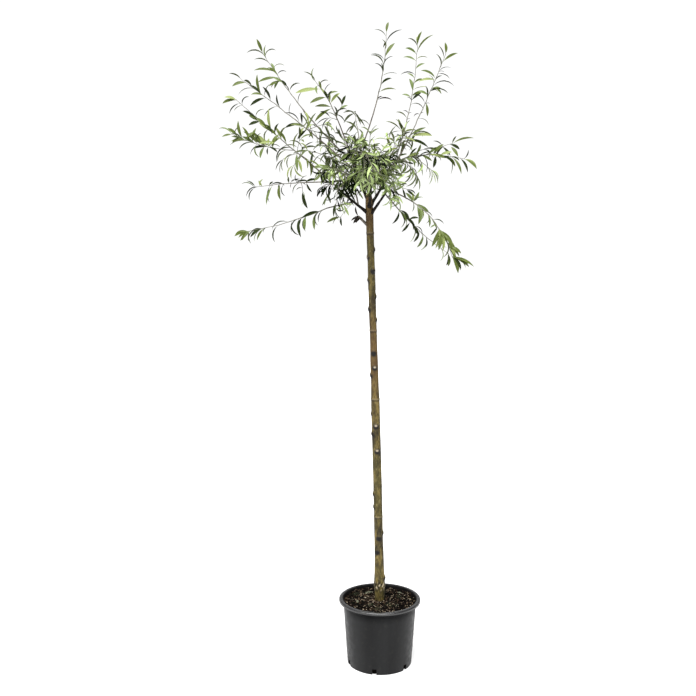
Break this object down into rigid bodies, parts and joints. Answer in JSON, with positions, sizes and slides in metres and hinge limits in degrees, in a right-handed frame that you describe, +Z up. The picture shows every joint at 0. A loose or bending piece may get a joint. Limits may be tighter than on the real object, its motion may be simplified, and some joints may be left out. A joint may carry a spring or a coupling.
{
  "type": "potted weeping pear tree",
  "caption": "Small weeping ornamental tree trained as a standard: tall clear stem, spreading crown of long leafy shoots, in a round plastic nursery pot.",
  "frame": {"origin": "centre of the pot's flat underside", "axes": "+Z up along the tree, +X to the right seen from the front, +Y to the back"},
  "size_m": [0.8276, 0.7559, 2.1544],
  "materials": {
    "pot": "satin charcoal injection-moulded plastic with a light skin of dust",
    "compost": "damp bark compost with pale wood chips and specks of moss",
    "bark": "smooth olive-brown young bark with fine cracks, lenticels and pruned-shoot scars",
    "bough": "dark brown young bark",
    "stem": "pale grey-brown downy young stems",
    "foliage": "narrow silvery grey-green leaves, satin above and downy below"
  },
  "bodies": {
    "root": {"pot": "pot", "compost": "compost", "trunk": "bark", "bough_left_high": "bough", "bough_left_low": "bough", "bough_right_high": "bough", "bough_front": "bough", "bough_back": "bough", "bough_right_low": "bough", "stem_tall_middle": "stem", "stem_tall_right": "stem", "stem_right_high": "stem", "stem_tall_left": "stem", "stem_upper_left": "stem", "stem_left_high": "stem", "stem_left_middle": "stem", "stem_left_level": "stem", "stem_left_low": "stem", "stem_right_arching": "stem", "stem_right_low": "stem", "stem_front_middle": "stem", "stem_front_left": "stem", "stem_back_right": "stem", "stem_back_middle": "stem", "stem_back_left": "stem", "stem_heart_top": "stem", "stem_heart_front_left": "stem", "stem_heart_back_right": "stem", "stem_heart_back_left": "stem", "tall_middle": "foliage", "tall_right": "foliage", "right_high": "foliage", "tall_left": "foliage", "upper_left": "foliage", "left_high": "foliage", "left_middle": "foliage", "left_level": "foliage", "left_low": "foliage", "right_arching": "foliage", "right_low": "foliage", "front_middle": "foliage", "front_left": "foliage", "back_right": "foliage", "back_middle": "foliage", "back_left": "foliage", "heart_top": "foliage", "heart_front_left": "foliage", "heart_back_right": "foliage", "heart_back_left": "foliage", "heart_left_high": "foliage", "heart_left_low": "foliage", "right_level": "foliage", "heart_front": "foliage", "heart_back": "foliage", "heart_right_low": "foliage", "low_spray": "foliage"}
  },
  "joints": []
}
